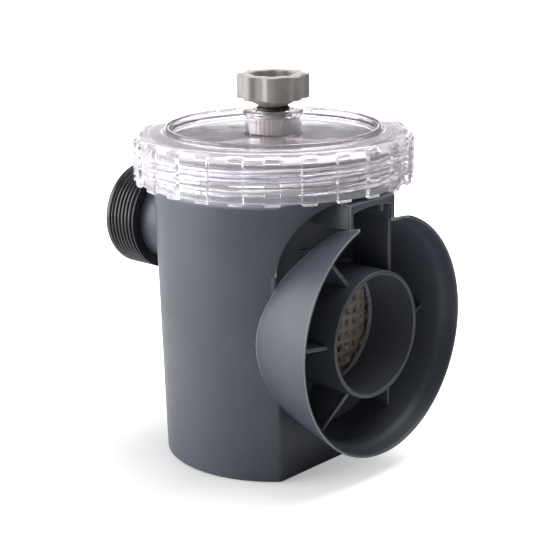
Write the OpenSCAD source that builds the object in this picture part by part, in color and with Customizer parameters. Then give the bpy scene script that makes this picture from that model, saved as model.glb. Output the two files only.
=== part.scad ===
// Strainer housing of a pool pump: a pot with a basket, a clear screwed-down cover and an
// air-release valve. Millimetres. The pot's axis is Z and it stands on z = 0. The outlet to
// the pump points along +X and the threaded inlet along -X.

/* [Pot] */
// Outside radius of the pot at its floor
pot_r_floor = 61.75; // [60:0.25:63]
// Outside radius of the pot where the neck begins
pot_r_top = 65.6; // [64:0.2:66]
// Height of the pot up to the neck
pot_h = 154; // [150:1:158]
// Wall thickness of the pot
wall = 2.6; // [2:0.1:3]
// Distance from the pot's axis to the flat that faces the pump
flat_x = 43.1; // [42:0.1:45]

/* [Neck] */
// Outside radius of the neck below its thread
neck_r = 66.8; // [66:0.1:67.2]
// Height of the neck's sealing rim
neck_top = 171.5; // [170:0.5:172]
// Crest radius of the neck's thread
neck_crest_r = 69.4; // [68.5:0.1:69.6]
// Rise of the collar in one turn
collar_pitch = 5; // [4:0.5:5]

/* [Outlet] */
// Height of the outlet's axis
outlet_z = 77.9; // [76:0.1:80]
// Outside radius of the outlet tube
tube_r = 34.5; // [33:0.1:35]
// Bore radius of the outlet tube
tube_bore_r = 32.2; // [30:0.1:32.4]
// Distance from the pot's axis to the end of the outlet tube
tube_end = 72.25; // [70:0.25:74]
// Outside radius of the shroud at its rim
shroud_rim_r = 65.6; // [64:0.1:66]
// Distance from the pot's axis to the shroud's rim
shroud_end = 78.1; // [77:0.1:80]
// Wall thickness of the shroud
shroud_wall = 2; // [1.6:0.1:2.4]

/* [Inlet] */
// Height of the inlet's axis
inlet_z = 118.6; // [116:0.1:120]
// Bore radius of the inlet
inlet_bore_r = 21.5; // [20:0.1:22]
// Outside radius of the spout that carries the nipple
spout_r = 24; // [23.5:0.1:24]
// Distance from the pot's axis to the end of the nipple
nipple_end = 104.8; // [103:0.1:107]
// Distance from the pot's axis to the back of the nipple
nipple_back = 82.4; // [82:0.1:83]
// Crest radius of the nipple's thread
nipple_r = 30; // [29.8:0.1:30.2]

/* [Collar] */
// Radius over the collar's grip ribs
collar_r = 76; // [75.5:0.1:76.5]
// Number of grip ribs
rib_count = 25; // [20:1:28]
// Height of the collar's top face
collar_top = 180.5; // [180.2:0.1:181]
// Height of the collar's lower edge
collar_low = 154.4; // [154.2:0.1:155]

/* [Cover] */
// Radius over the ring that stands up through the collar
cover_ring_r = 58.8; // [58:0.1:59.4]
// Height of that ring's top
cover_ring_top = 182.3; // [182:0.1:183]
// Outside radius of the valve seat in the middle of the cover
seat_r = 15.25; // [15:0.05:15.5]

/* [Valve] */
// Radius over the knob's lobes
knob_r = 19.7; // [19:0.1:20]
// Number of lobes on the knob
lobe_count = 8; // [6:1:10]
// Height of the knob's top face
knob_top = 210; // [208:0.5:212]

/* [Basket] */
// Outside radius of the basket's round side
basket_r = 56; // [54:0.5:57]
// Distance from the pot's axis to the basket's flat side
basket_flat_x = 37.8; // [36:0.1:38]
// Number of slots round half of the basket
slot_pairs = 12; // [10:1:18]

/* [Hidden] */
$fn = 96;

slate = [0.36, 0.38, 0.41];
black = [0.10, 0.10, 0.11];
clear = [0.90, 0.88, 0.92, 0.4];
knob_grey = [0.70, 0.68, 0.67];
seal_black = [0.06, 0.06, 0.06];
basket_grey = [0.58, 0.55, 0.51];

floor_t = 3;          // thickness of the pot's floor
pot_cut_back = -25;   // where the wall's back region ends
pot_cut_front = 33;   // where the wall's outlet region begins
recess_cut_z = 112;   // bottom of the region above the outlet
side_gap = 20;        // the side regions begin this far from the middle, in the hollow
far = 80;             // further out than any wall of the pot
eps = 0.01;           // runs a cut just past a face

// Recess behind the shroud: half width, top, and the radius of its upper corners
recess_half = 48;
recess_top = 151;
recess_corner = 36;

// Neck: ledge for the basket, then a wider bore up to the rim
ledge_t = 3;
ledge_r = 58.2;
neck_bore_r = 61.4;
ridge_z0 = 158.6;     // first ridge of the neck's thread
ridge_count = 3;
ridge_base = 3.2;     // width of a ridge at its foot
ridge_crest = 1.2;    // width of a ridge at its crest

// Shroud: a cone from the pot to the rim, with a thin lip at its mouth
shroud_x0 = 30;
shroud_slope = 0.277;
lip_x = 70;
lip_step = 0.5;
notch_half = 18.4;

// Gussets: plates whose front edge slopes back towards the shroud
gusset_t = 2;
gusset_front_x = 67;
gusset_slope = 0.38;
gusset_angles = [0, 120, 180, 240, 300];

// Latch bracket
latch_x = 69.2;
latch_t = 2.5;
latch_half = 18.2;
latch_wall = 2.3;
latch_low = 137.5;
latch_eye_side = 145.8;   // top of its opening at the sides
latch_eye_mid = 147.4;    // top of its opening in the middle
latch_roof_t = 2;
peg_r = 1.2;
peg_y = 8;
peg_drop = 4;

// Nipple: thread ridges behind a plain front lip
nipple_root_r = 28.5;
nipple_mouth_r = 25.4;
nipple_lip = 3;
nipple_pitch = 2.86;
nipple_ridges = 7;
spout_end = 96;
spout_fit = 0.05;
nipple_shoulder = 0.8;    // gap between the spout's end and the shoulder it meets
nipple_foot_half = 1.1;   // half width of a ridge at its foot
nipple_crest_half = 0.45; // half width of a ridge at its crest
groove_depth = 2.3;
groove_near = 3.4;        // O-ring groove, measured from the nipple's back
groove_far = 6.6;
nipple_seal_r = 1.1;

// Sealing stack on the neck
gasket_t = 2.8;
gasket_r = 66.4;
gasket_in_r = 59.3;
gasket_lip_r = 61.1;
gasket_lip_h = 4;
flange_z = neck_top + gasket_t;
flange_t = 2.9;
flange_r = 67;
plate_z = flange_z + 1.3;
plate_t = 2.8;
plate_top = plate_z + plate_t;

// Collar: skirt, top plate and inner ridges
collar_wall_r = 74;
collar_in_r = 72.2;
collar_mouth_r = 60;
collar_plate_t = 3;
collar_round = 3;
collar_fillet = 3.5;      // inner fillet between skirt and top plate
thread_foot_half = 1.2;
thread_crest_half = 0.5;
rib_angle = 6.2;
rib_phase = 9.2;
rib_drop = 0.8;
collar_ridge_r = 70.2;

// Valve: a bushing inside the clear seat, and a stem that screws through it
seat_bore_r = 13.9;
seat_top = 190.2;
seat_roof_t = 2.8;        // ring at the top of the seat
seat_mouth_r = 9.9;
seat_flange_r = 16.6;
seat_flange_t = 2;
bushing_bore_r = 7.2;
air_hole_r = 4;
air_tube_r = 6.75;
air_tube_bore_r = 5.2;
air_tube_low = 160;
washer_t = 1.4;
washer_in_r = 4.6;
stem_r = 6.5;
stem_thread_r = 6.95;
stem_pitch = 2.5;
stem_seal_r = 1.2;
stem_seal_z = 191.3;
knob_low = 195.2;
knob_base_r = 13;
knob_base_t = 2;
knob_neck_low = 192.6;    // foot of the cone under the knob
knob_neck_r = 7.4;
knob_floor = 199;
lobe_r = 5;

// Basket
basket_corner = 25;
basket_t = 1.8;
basket_low = 9;
rim_r = 60.9;
rim_t = 2.5;
rim_z = pot_h + ledge_t;
bail_r = 46;
bail_rod = 1.8;
bail_z = rim_z + rim_t + 2.6;
slot_w = 4;
slot_h = 28;
slot_gap = 4;
slot_rows = 3;
floor_pitch = 8;
ear_t = 2.5;
ear_half = 3.5;
ear_h = 5.2;

// ---------------------------------------------------------------- shared forms

// Turns a profile drawn as [radius, distance] about the X axis at height z
module about_x(z) {
    translate([0, 0, z]) rotate([0, 90, 0]) rotate_extrude() children();
}

// Ring with a trapezoid section, standing out from r0 to r1 about Z at height z
module ridge(r0, r1, z) {
    rotate_extrude()
        polygon([[r0, z - ridge_base / 2], [r1, z - ridge_crest / 2],
                 [r1, z + ridge_crest / 2], [r0, z + ridge_base / 2]]);
}

// Outline of the recess, drawn as [y, z]; grow moves it outwards
module recess_outline(grow) {
    y_c = recess_half - recess_corner;
    z_c = recess_top - recess_corner;
    translate([-recess_half - grow, -5]) square([2 * (recess_half + grow), z_c + 5]);
    for (s = [-1, 1]) translate([s * y_c, z_c]) circle(recess_corner + grow);
    translate([-y_c, z_c]) square([2 * y_c, recess_corner + grow]);
}

// Space in front of the flat; grow moves all its walls outwards
module recess(grow) {
    translate([flat_x - grow, 0, 0]) rotate([90, 0, 90])
        linear_extrude(40) recess_outline(grow);
}

// The pot's round form without the recess, shrunk by inset
module pot_cone(inset) {
    cylinder(h = pot_h, r1 = pot_r_floor - inset, r2 = pot_r_top - inset);
}

// Outside of the pot, with its recess
module pot_outside() {
    difference() {
        pot_cone(0);
        recess(0);
    }
}

// Solid cone that bounds the shroud, shrunk by inset
module shroud_cone(inset) {
    r_at_x0 = shroud_rim_r - shroud_slope * (shroud_end - shroud_x0);
    translate([shroud_x0, 0, outlet_z]) rotate([0, 90, 0])
        cylinder(h = shroud_end - shroud_x0 + (inset > 0 ? eps : 0),
                 r1 = r_at_x0 - inset, r2 = shroud_rim_r - inset);
}

// Outline of the basket seen from above: round, with one flat side and soft corners
module basket_outline(inset) {
    c = basket_corner - inset;
    xc = basket_flat_x - basket_corner;
    yc = sqrt(pow(basket_r - basket_corner, 2) - xc * xc);
    turn = atan2(yc, xc);
    steps = 12;
    round_steps = 60;
    corner = [for (i = [0 : steps]) let (a = turn * i / steps)
              [xc + c * cos(a), yc + c * sin(a)]];
    back = [for (i = [1 : round_steps - 1])
            let (a = turn + (360 - 2 * turn) * i / round_steps)
            [(basket_r - inset) * cos(a), (basket_r - inset) * sin(a)]];
    other = [for (i = [steps : -1 : 0]) let (a = turn * i / steps)
             [xc + c * cos(a), -yc - c * sin(a)]];
    polygon(concat(corner, back, other));
}

// ---------------------------------------------------------------- housing

// Space inside the pot's round wall
module pot_hollow() {
    translate([0, 0, floor_t]) cylinder(h = pot_h, r1 = pot_r_floor - wall,
        r2 = pot_r_floor - wall + (pot_r_top - pot_r_floor));
}

// The whole pot, which the nodes below divide into regions
module pot_shell() {
    difference() {
        pot_outside();
        difference() {
            pot_hollow();
            recess(wall);
            translate([-100, -100, -1]) cube([200, 200, floor_t + 1]);
        }
        translate([0, 0, outlet_z]) rotate([0, 90, 0]) cylinder(h = 100, r = tube_bore_r);
        translate([0, 0, inlet_z]) rotate([0, -90, 0]) cylinder(h = 100, r = inlet_bore_r);
    }
}

// The part of the pot between two corners
module pot_region(low, high) {
    color(slate) intersection() {
        pot_shell();
        translate(low) cube(high - low);
    }
}

module pot_floor() {
    pot_region([-far, -far, -1], [far, far, floor_t]);
}

module pot_back_wall() {
    pot_region([-far, -far, floor_t], [pot_cut_back, far, pot_h + 1]);
}

// Plain round wall from y0 to y0 + far, between the back and outlet regions
module side_wall(y0) {
    color(slate) difference() {
        intersection() {
            pot_cone(0);
            translate([pot_cut_back, y0, floor_t])
                cube([pot_cut_front - pot_cut_back, far, pot_h - floor_t]);
        }
        pot_hollow();
    }
}

module pot_left_wall() {
    side_wall(-far - side_gap);
}

module pot_right_wall() {
    side_wall(side_gap);
}

module outlet_wall() {
    pot_region([pot_cut_front, -far, floor_t], [far, far, recess_cut_z]);
}

module recess_wall() {
    pot_region([pot_cut_front, -far, recess_cut_z], [flat_x, far, pot_h + 1]);
}

module recess_arch() {
    pot_region([flat_x, -far, recess_cut_z], [far, far, pot_h + 1]);
}

module neck_ring() {
    color(slate) {
        difference() {
            translate([0, 0, pot_h]) cylinder(h = neck_top - pot_h, r = neck_r);
            translate([0, 0, pot_h - 1]) cylinder(h = ledge_t + 2, r = ledge_r);
            translate([0, 0, pot_h + ledge_t]) cylinder(h = 30, r = neck_bore_r);
        }
        for (i = [0 : ridge_count - 1])
            ridge(neck_r - eps, neck_crest_r, ridge_z0 + i * collar_pitch);
    }
}

module outlet_tube() {
    color(slate) translate([flat_x, 0, outlet_z]) rotate([0, 90, 0]) difference() {
        cylinder(h = tube_end - flat_x, r = tube_r);
        translate([0, 0, -1]) cylinder(h = tube_end, r = tube_bore_r);
    }
}

module outlet_shroud() {
    color(slate) difference() {
        shroud_cone(0);
        shroud_cone(shroud_wall);
        // step that thins the lip at the mouth
        intersection() {
            shroud_cone(shroud_wall - lip_step);
            translate([lip_x, -100, -50]) cube([50, 200, 300]);
        }
        pot_outside();
        // above the outlet the shell stops at the pot's round form
        intersection() {
            pot_cone(1.5);
            translate([0, -100, inlet_z - 8]) cube([100, 200, 60]);
        }
        // notch for the latch bracket
        translate([20, -notch_half, outlet_z + 20]) cube([100, 2 * notch_half, 80]);
    }
}

module shroud_gussets() {
    root = 20;
    color(slate) difference() {
        intersection() {
            for (a = gusset_angles) translate([0, 0, outlet_z]) rotate([a, 0, 0])
                translate([0, 0, -gusset_t / 2]) linear_extrude(gusset_t)
                    polygon([[root, root], [root, far],
                             [gusset_front_x - gusset_slope * (far - tube_r), far],
                             [gusset_front_x + gusset_slope * (tube_r - root), root]]);
            shroud_cone(shroud_wall);
        }
        pot_outside();
        translate([0, 0, outlet_z]) rotate([0, 90, 0]) cylinder(h = 100, r = tube_r);
    }
}

module latch_bracket() {
    front = latch_x - latch_t;
    eye_r = (pow(latch_half - latch_wall, 2) / (latch_eye_mid - latch_eye_side)
             + latch_eye_mid - latch_eye_side) / 2;
    color(slate) {
        // front plate with its arched opening
        translate([front, 0, 0]) rotate([90, 0, 90]) linear_extrude(latch_t) difference() {
            translate([-latch_half, latch_low])
                square([2 * latch_half, recess_top - latch_low]);
            intersection() {
                translate([-latch_half + latch_wall, latch_low - 1])
                    square([2 * (latch_half - latch_wall), 20]);
                translate([0, latch_eye_mid - eye_r]) circle(eye_r, $fn = 180);
            }
        }
        // roof and side walls back to the pot, inside the recess
        intersection() {
            union() {
                translate([flat_x, -latch_half, recess_top - latch_roof_t])
                    cube([front - flat_x, 2 * latch_half, latch_roof_t]);
                for (y = [-latch_half, latch_half - latch_wall])
                    translate([flat_x, y, latch_low])
                        cube([front - flat_x, latch_wall,
                              recess_top - latch_roof_t - latch_low]);
            }
            recess(0);
        }
        // the +Y wall runs on down to the outlet tube
        difference() {
            translate([flat_x, latch_half - latch_wall, outlet_z + 20])
                cube([gusset_front_x - flat_x, latch_wall, latch_low - outlet_z - 20]);
            translate([0, 0, outlet_z]) rotate([0, 90, 0]) cylinder(h = 100, r = tube_r);
        }
        // peg under the top bar
        translate([front + latch_t / 2, peg_y, latch_eye_mid - peg_drop])
            cylinder(h = peg_drop + 0.6, r = peg_r);
    }
}

module inlet_spout() {
    color(slate) difference() {
        translate([0, 0, inlet_z]) rotate([0, -90, 0]) cylinder(h = spout_end, r = spout_r);
        translate([0, 0, inlet_z]) rotate([0, -90, 0])
            cylinder(h = spout_end + 1, r = inlet_bore_r);
        pot_cone(0);
        translate([0, -50, 0]) cube([50, 100, 200]);
    }
}

module inlet_nipple() {
    ridge_x0 = nipple_end - nipple_lip - 1.5;
    root = nipple_mouth_r;
    color(black) about_x(inlet_z) difference() {
        union() {
            translate([0, -nipple_end])
                square([nipple_root_r, nipple_end - nipple_back]);
            translate([0, -nipple_end]) square([nipple_r, nipple_lip]);
            for (i = [0 : nipple_ridges - 1]) translate([0, i * nipple_pitch - ridge_x0])
                polygon([[root, -nipple_foot_half], [nipple_root_r, -nipple_foot_half],
                         [nipple_r, -nipple_crest_half], [nipple_r, nipple_crest_half],
                         [nipple_root_r, nipple_foot_half], [root, nipple_foot_half]]);
        }
        translate([0, -nipple_end - 1])
            square([nipple_mouth_r, nipple_end - spout_end + nipple_shoulder]);
        translate([0, -nipple_end]) square([spout_r + spout_fit, 60]);
        translate([0, -nipple_back - groove_far])
            square([spout_r + groove_depth, groove_far - groove_near]);
    }
}

module nipple_o_ring() {
    color(seal_black) about_x(inlet_z)
        translate([spout_r + 1.2, -nipple_back - (groove_far + groove_near) / 2])
            circle(nipple_seal_r, $fn = 32);
}

// ---------------------------------------------------------------- cover and collar

module cover_plate() {
    color(clear) difference() {
        rotate_extrude() polygon([
            [0, plate_z], [gasket_in_r - 1, plate_z], [gasket_in_r - 1, flange_z],
            [flange_r, flange_z], [flange_r, flange_z + flange_t],
            [cover_ring_r, flange_z + flange_t],
            [cover_ring_r, cover_ring_top - 0.6], [cover_ring_r - 0.6, cover_ring_top],
            [cover_ring_r - 2, cover_ring_top], [cover_ring_r - 2.6, cover_ring_top - 0.6],
            [cover_ring_r - 2.8, plate_top], [0, plate_top]]);
        translate([0, 0, plate_z - 1]) cylinder(h = plate_t + 2, r = air_hole_r);
    }
}

module valve_seat() {
    color(clear) {
        rotate_extrude() polygon([
            [seat_bore_r, plate_top], [seat_r, plate_top],
            [seat_r, seat_top - seat_flange_t], [seat_flange_r, seat_top - seat_flange_t],
            [seat_flange_r, seat_top], [seat_mouth_r, seat_top],
            [seat_mouth_r, seat_top - seat_roof_t], [seat_bore_r, seat_top - seat_roof_t]]);
        translate([0, 0, air_tube_low]) difference() {
            cylinder(h = plate_z - air_tube_low, r = air_tube_r);
            translate([0, 0, -1]) cylinder(h = 30, r = air_tube_bore_r);
        }
    }
}

module cover_gasket() {
    color(seal_black) rotate_extrude() polygon([
        [gasket_in_r, flange_z], [gasket_in_r, neck_top - gasket_lip_h],
        [gasket_lip_r, neck_top - gasket_lip_h], [gasket_lip_r, neck_top],
        [gasket_r, neck_top], [gasket_r, flange_z]]);
}

module collar_ring() {
    low = collar_top - collar_plate_t;
    color(clear) rotate_extrude() difference() {
        union() {
            translate([collar_mouth_r, low])
                square([collar_wall_r - collar_round - collar_mouth_r, collar_plate_t]);
            translate([collar_in_r, collar_low])
                square([collar_wall_r - collar_in_r, collar_top - collar_round - collar_low]);
            translate([collar_in_r - 2, low - 2])
                square([collar_wall_r - collar_round - collar_in_r + 2, 2 + collar_plate_t]);
            translate([collar_wall_r - collar_round, collar_top - collar_round])
                circle(collar_round, $fn = 48);
        }
        translate([collar_in_r - collar_fillet, low - collar_fillet])
            circle(collar_fillet, $fn = 48);
        translate([0, collar_low - 5])
            square([collar_in_r, low - collar_fillet + 5 - collar_low]);
        square([collar_in_r - collar_fillet, low]);
    }
}

module collar_ribs() {
    tall = collar_top - collar_round - collar_low + rib_drop;
    color(clear) for (i = [0 : rib_count - 1]) rotate(rib_phase + i * 360 / rib_count)
        translate([0, 0, collar_low - rib_drop]) linear_extrude(tall) intersection() {
            difference() {
                circle(collar_r, $fn = 180);
                circle(collar_wall_r, $fn = 180);
            }
            polygon([[0, 0], [90, 90 * tan(rib_angle / 2)], [90, -90 * tan(rib_angle / 2)]]);
        }
}

module collar_thread() {
    color(clear) for (i = [0 : ridge_count - 2])
        translate([0, 0, ridge_z0 + (i + 0.5) * collar_pitch])
            rotate_extrude() polygon([
                [collar_in_r, -thread_foot_half], [collar_ridge_r, -thread_crest_half],
                [collar_ridge_r, thread_crest_half], [collar_in_r, thread_foot_half]]);
}

// ---------------------------------------------------------------- valve

// Stays in the seat; the stem turns in it
module valve_bushing() {
    color(knob_grey) translate([0, 0, plate_top]) difference() {
        cylinder(h = seat_top - seat_roof_t - plate_top, r = seat_bore_r);
        translate([0, 0, -1]) cylinder(h = 30, r = bushing_bore_r);
    }
}

module valve_o_ring() {
    color(seal_black) rotate_extrude()
        translate([stem_r + stem_seal_r, stem_seal_z]) circle(stem_seal_r, $fn = 32);
}

module valve_washer() {
    color(seal_black) translate([0, 0, plate_top]) difference() {
        cylinder(h = washer_t, r = stem_r);
        translate([0, 0, -1]) cylinder(h = washer_t + 2, r = washer_in_r);
    }
}

module valve_stem() {
    z0 = plate_top + washer_t;
    color(knob_grey) rotate_extrude() union() {
        translate([0, z0]) square([stem_r, knob_neck_low - z0]);
        for (z = [z0 + 2 : stem_pitch : seat_top - seat_roof_t - 1])
            translate([0, z - 0.6]) square([stem_thread_r, 1.2]);
    }
}

module valve_knob() {
    lobe_turn = 50;
    color(knob_grey) difference() {
        union() {
            translate([0, 0, knob_low + 1.2]) linear_extrude(knob_top - knob_low - 1.2) union() {
                circle(knob_r - 2.6);
                for (i = [0 : lobe_count - 1]) rotate(i * 360 / lobe_count - lobe_turn)
                    translate([knob_r - lobe_r, 0]) circle(lobe_r, $fn = 48);
            }
            translate([0, 0, knob_low]) cylinder(h = knob_base_t, r = knob_base_r);
            translate([0, 0, knob_neck_low])
                cylinder(h = knob_low - knob_neck_low, r1 = knob_neck_r, r2 = knob_base_r - 0.8);
        }
        translate([0, 0, knob_floor]) linear_extrude(30) union() {
            circle(knob_r - 8);
            for (i = [0 : lobe_count - 1]) rotate(i * 360 / lobe_count - lobe_turn)
                translate([knob_r - lobe_r - 3, 0]) circle(2.6, $fn = 32);
        }
    }
}

// ---------------------------------------------------------------- basket

module basket_cup() {
    color(basket_grey) difference() {
        translate([0, 0, basket_low]) linear_extrude(rim_z - basket_low) difference() {
            basket_outline(0);
            basket_outline(basket_t);
        }
        for (row = [0 : slot_rows - 1])
            for (i = [0 : slot_pairs - 1]) rotate((i + 0.5) * 180 / slot_pairs)
                translate([-70, -slot_w / 2, basket_low + 8 + row * (slot_h + slot_gap)])
                    cube([140, slot_w, slot_h]);
        translate([0, 0, inlet_z]) rotate([0, -90, 0]) cylinder(h = 80, r = spout_r + 2);
    }
}

module basket_floor() {
    color(basket_grey) difference() {
        translate([0, 0, basket_low]) linear_extrude(basket_t) basket_outline(basket_t);
        for (i = [-4 : 3])
            translate([-34, (i + 0.5) * floor_pitch - slot_w / 2, basket_low - 1])
                cube([62, slot_w, 6]);
    }
}

module basket_rim() {
    color(basket_grey) {
        translate([0, 0, rim_z]) linear_extrude(rim_t) difference() {
            circle(rim_r, $fn = 180);
            basket_outline(basket_t);
        }
        // ears that carry the bail
        for (s = [-1, 1]) difference() {
            translate([-ear_half, s * (bail_r + 4.2) - ear_t / 2, rim_z + rim_t])
                cube([2 * ear_half, ear_t, ear_h]);
            translate([0, s * (bail_r + 4.2), bail_z]) rotate([90, 0, 0])
                cylinder(h = 6, r = bail_rod + 0.05, center = true);
        }
    }
}

module basket_bail() {
    color(basket_grey) {
        translate([0, 0, bail_z]) difference() {
            rotate_extrude() translate([bail_r, 0]) circle(bail_rod, $fn = 32);
            translate([0, -60, -10]) cube([60, 120, 20]);
        }
        for (s = [-1, 1]) translate([0, s * (bail_r + 2.6), bail_z]) rotate([90, 0, 0])
            cylinder(h = 6, r = bail_rod, center = true, $fn = 32);
    }
}

pot_floor();
pot_back_wall();
pot_left_wall();
pot_right_wall();
outlet_wall();
recess_wall();
recess_arch();
neck_ring();
outlet_tube();
outlet_shroud();
shroud_gussets();
latch_bracket();
inlet_spout();
inlet_nipple();
nipple_o_ring();
cover_plate();
valve_seat();
cover_gasket();
collar_ring();
collar_ribs();
collar_thread();
valve_bushing();
valve_o_ring();
valve_washer();
valve_stem();
valve_knob();
basket_cup();
basket_floor();
basket_rim();
basket_bail();
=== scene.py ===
# %% [markdown]
# # The strainer housing of a pool pump
# A slate-grey pot holds a basket. Water comes in through the black threaded nipple and leaves
# through the tube inside the flared shroud, which meets the pump. A clear ribbed collar
# screws a clear cover down on a gasket, and a grey knob in the middle lets the air out.
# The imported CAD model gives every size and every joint. This file gives each piece its
# finished surface: threads that really wind, rounded edges, a fine basket grid and clear
# plastic that bends light.

# %% The frame
import math

import bmesh
import bpy
import numpy as np
from mathutils import Matrix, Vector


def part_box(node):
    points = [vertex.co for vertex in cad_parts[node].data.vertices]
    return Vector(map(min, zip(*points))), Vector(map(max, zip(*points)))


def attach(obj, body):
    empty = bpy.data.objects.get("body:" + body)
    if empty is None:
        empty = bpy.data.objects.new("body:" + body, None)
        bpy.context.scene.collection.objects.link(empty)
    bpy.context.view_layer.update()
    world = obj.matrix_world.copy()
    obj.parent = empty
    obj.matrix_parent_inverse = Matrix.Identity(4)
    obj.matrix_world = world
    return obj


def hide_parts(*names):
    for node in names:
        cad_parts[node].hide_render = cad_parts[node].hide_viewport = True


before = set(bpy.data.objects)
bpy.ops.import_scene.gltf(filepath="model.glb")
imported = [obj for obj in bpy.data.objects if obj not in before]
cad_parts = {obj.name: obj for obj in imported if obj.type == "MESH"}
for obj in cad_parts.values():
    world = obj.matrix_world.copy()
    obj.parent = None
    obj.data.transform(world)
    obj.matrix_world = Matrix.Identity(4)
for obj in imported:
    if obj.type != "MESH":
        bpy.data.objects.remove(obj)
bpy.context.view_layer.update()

MM = 0.001

# %% [markdown]
# ## Sizes
# Radii, heights and ends are read off the boxes of the CAD nodes, in millimetres, and the few
# wall thicknesses that no box shows are named first. `low` and `high` are the corners of a
# node's box.

# %% Sizes from the frame


def low(node):
    """Lowest corner of a CAD node's box, in millimetres."""
    return np.array(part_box(node)[0]) / MM


def high(node):
    """Highest corner of a CAD node's box, in millimetres."""
    return np.array(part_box(node)[1]) / MM


def radius_of(node):
    """Half of a round node's extent along Y, in millimetres."""
    return (high(node)[1] - low(node)[1]) / 2


WALL, TUBE_WALL, SPOUT_WALL = 2.6, 2.3, 2.5
PLATE_RISE, KNOB_CONE = 1.3, 2.6

POT_TOP = high("pot_back_wall")[2]
POT_R_TOP = -low("pot_back_wall")[0]
POT_R_FLOOR = 61.75
FLAT_X = low("outlet_tube")[0]
OUTLET_Z = (low("outlet_tube")[2] + high("outlet_tube")[2]) / 2
TUBE_R = radius_of("outlet_tube")
TUBE_END = high("outlet_tube")[0]
TUBE_BORE = TUBE_R - TUBE_WALL
INLET_Z = (low("inlet_nipple")[2] + high("inlet_nipple")[2]) / 2
NIPPLE_R = radius_of("inlet_nipple")
NIPPLE_END = -low("inlet_nipple")[0]
NIPPLE_BACK = -high("inlet_nipple")[0]
SPOUT_R = radius_of("inlet_spout")
SPOUT_END = -low("inlet_spout")[0]
INLET_BORE = SPOUT_R - SPOUT_WALL
NECK_TOP = high("neck_ring")[2]
COLLAR_R = radius_of("collar_ribs")
COLLAR_TOP = high("collar_ring")[2]
COLLAR_LOW = low("collar_ring")[2]
RIB_DROP = COLLAR_LOW - low("collar_ribs")[2]
FLANGE_LOW = low("cover_plate")[2]
PLATE_LOW = FLANGE_LOW + PLATE_RISE
COVER_TOP = high("cover_plate")[2]
FLANGE_R = radius_of("cover_plate")
SEAT_TOP = high("valve_seat")[2]
KNOB_TOP = high("valve_knob")[2]
KNOB_LOW = low("valve_knob")[2] + KNOB_CONE
KNOB_R = 19.7
BASKET_TOP = high("basket_cup")[2]
BASKET_LOW = low("basket_cup")[2]
BASKET_R = radius_of("basket_cup")
BASKET_FLAT = high("basket_cup")[0]
print(f"outlet axis at {OUTLET_Z:.1f} mm, inlet axis at {INLET_Z:.1f} mm")

# %% [markdown]
# ## Surfaces from arrays
# Every piece is a grid of points: one direction runs along a closed profile and the other
# round an axis or along a path. `quads` joins neighbouring points, `soften` rounds the
# corners of a profile, and `turned` carries a profile round an axis. Whole arrays are
# worked out at once, so a thread is one formula and not a loop over points.

# %% Grid helpers


def quads(rows, cols, wrap_rows=True, wrap_cols=True):
    """Indexes of the four corners of each cell of a rows x cols grid of points."""
    i = np.arange(rows if wrap_rows else rows - 1)[:, None]
    j = np.arange(cols if wrap_cols else cols - 1)[None, :]
    i2, j2 = (i + 1) % rows, (j + 1) % cols
    corners = [i * cols + j, i * cols + j2, i2 * cols + j2, i2 * cols + j]
    return np.stack(np.broadcast_arrays(*corners), -1).reshape(-1, 4)


def soften(corners, radius, steps=5, closed=True):
    """The outline through corners with each corner replaced by a short curve.

    The curve leaves each side at radius from the corner, or at 45% of the side if that is
    less, and is the parabola that touches both sides there.
    """
    p = np.asarray(corners, float)
    r = np.broadcast_to(np.asarray(radius, float), len(p))
    before, after = np.roll(p, 1, 0) - p, np.roll(p, -1, 0) - p
    length_b = np.maximum(np.linalg.norm(before, axis=1), 1e-9)
    length_a = np.maximum(np.linalg.norm(after, axis=1), 1e-9)
    reach = np.minimum(r, 0.45 * np.minimum(length_a, length_b))
    if not closed:
        reach[[0, -1]] = 0
    start = p + before * (reach / length_b)[:, None]
    end = p + after * (reach / length_a)[:, None]
    s = np.linspace(0, 1, steps)[None, :, None]
    curve = (1 - s) ** 2 * start[:, None] + 2 * s * (1 - s) * p[:, None] + s**2 * end[:, None]
    return curve.reshape(-1, 2)


def fill_in(profile, spacing, closed=True):
    """The same profile with points added so that none are further apart than spacing."""
    p = np.asarray(profile, float)
    q = np.vstack([p, p[:1]]) if closed else p
    steps = np.maximum(np.ceil(np.linalg.norm(np.diff(q, axis=0), axis=1) / spacing), 1)
    parts = [a + (b - a) * np.arange(n)[:, None] / n for a, b, n in zip(q[:-1], q[1:], steps)]
    return np.vstack(parts if closed else parts + [q[-1:]])


def turned(profile, turns=160, axis="z", height=0.0, shape=None):
    """Points and faces of a closed profile of [radius, distance] turned round an axis.

    shape(r, d, angle) may return new radii and distances, which is how threads, ribs and
    lobes are cut. Axis z keeps distance as height. Axis x runs through the given height.
    """
    p = np.asarray(profile, float)
    angle = np.linspace(0, 2 * np.pi, turns, endpoint=False) if np.isscalar(turns) else turns
    r = np.repeat(p[:, :1], len(angle), 1)
    d = np.repeat(p[:, 1:], len(angle), 1)
    a = np.repeat(angle[None, :], len(p), 0)
    if shape is not None:
        r, d = shape(r, d, a)
    if axis == "z":
        points = np.stack([r * np.cos(a), r * np.sin(a), d + height], -1)
    else:
        points = np.stack([d, r * np.cos(a), height + r * np.sin(a)], -1)
    return points.reshape(-1, 3), quads(len(p), len(angle))


def plate(outline, thickness, origin, along, across, normal):
    """A flat plate: outline in the along and across directions, made thick along normal."""
    o = np.asarray(outline, float)
    along, across, normal = (np.asarray(v, float) for v in (along, across, normal))
    face = np.asarray(origin, float) + o[:, :1] * along + o[:, 1:] * across
    points = np.vstack([face, face + normal * thickness])
    n = len(o)
    sides = quads(2, n, wrap_rows=False)
    return points, [list(range(n)), list(range(n, 2 * n))] + sides.tolist()


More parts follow.
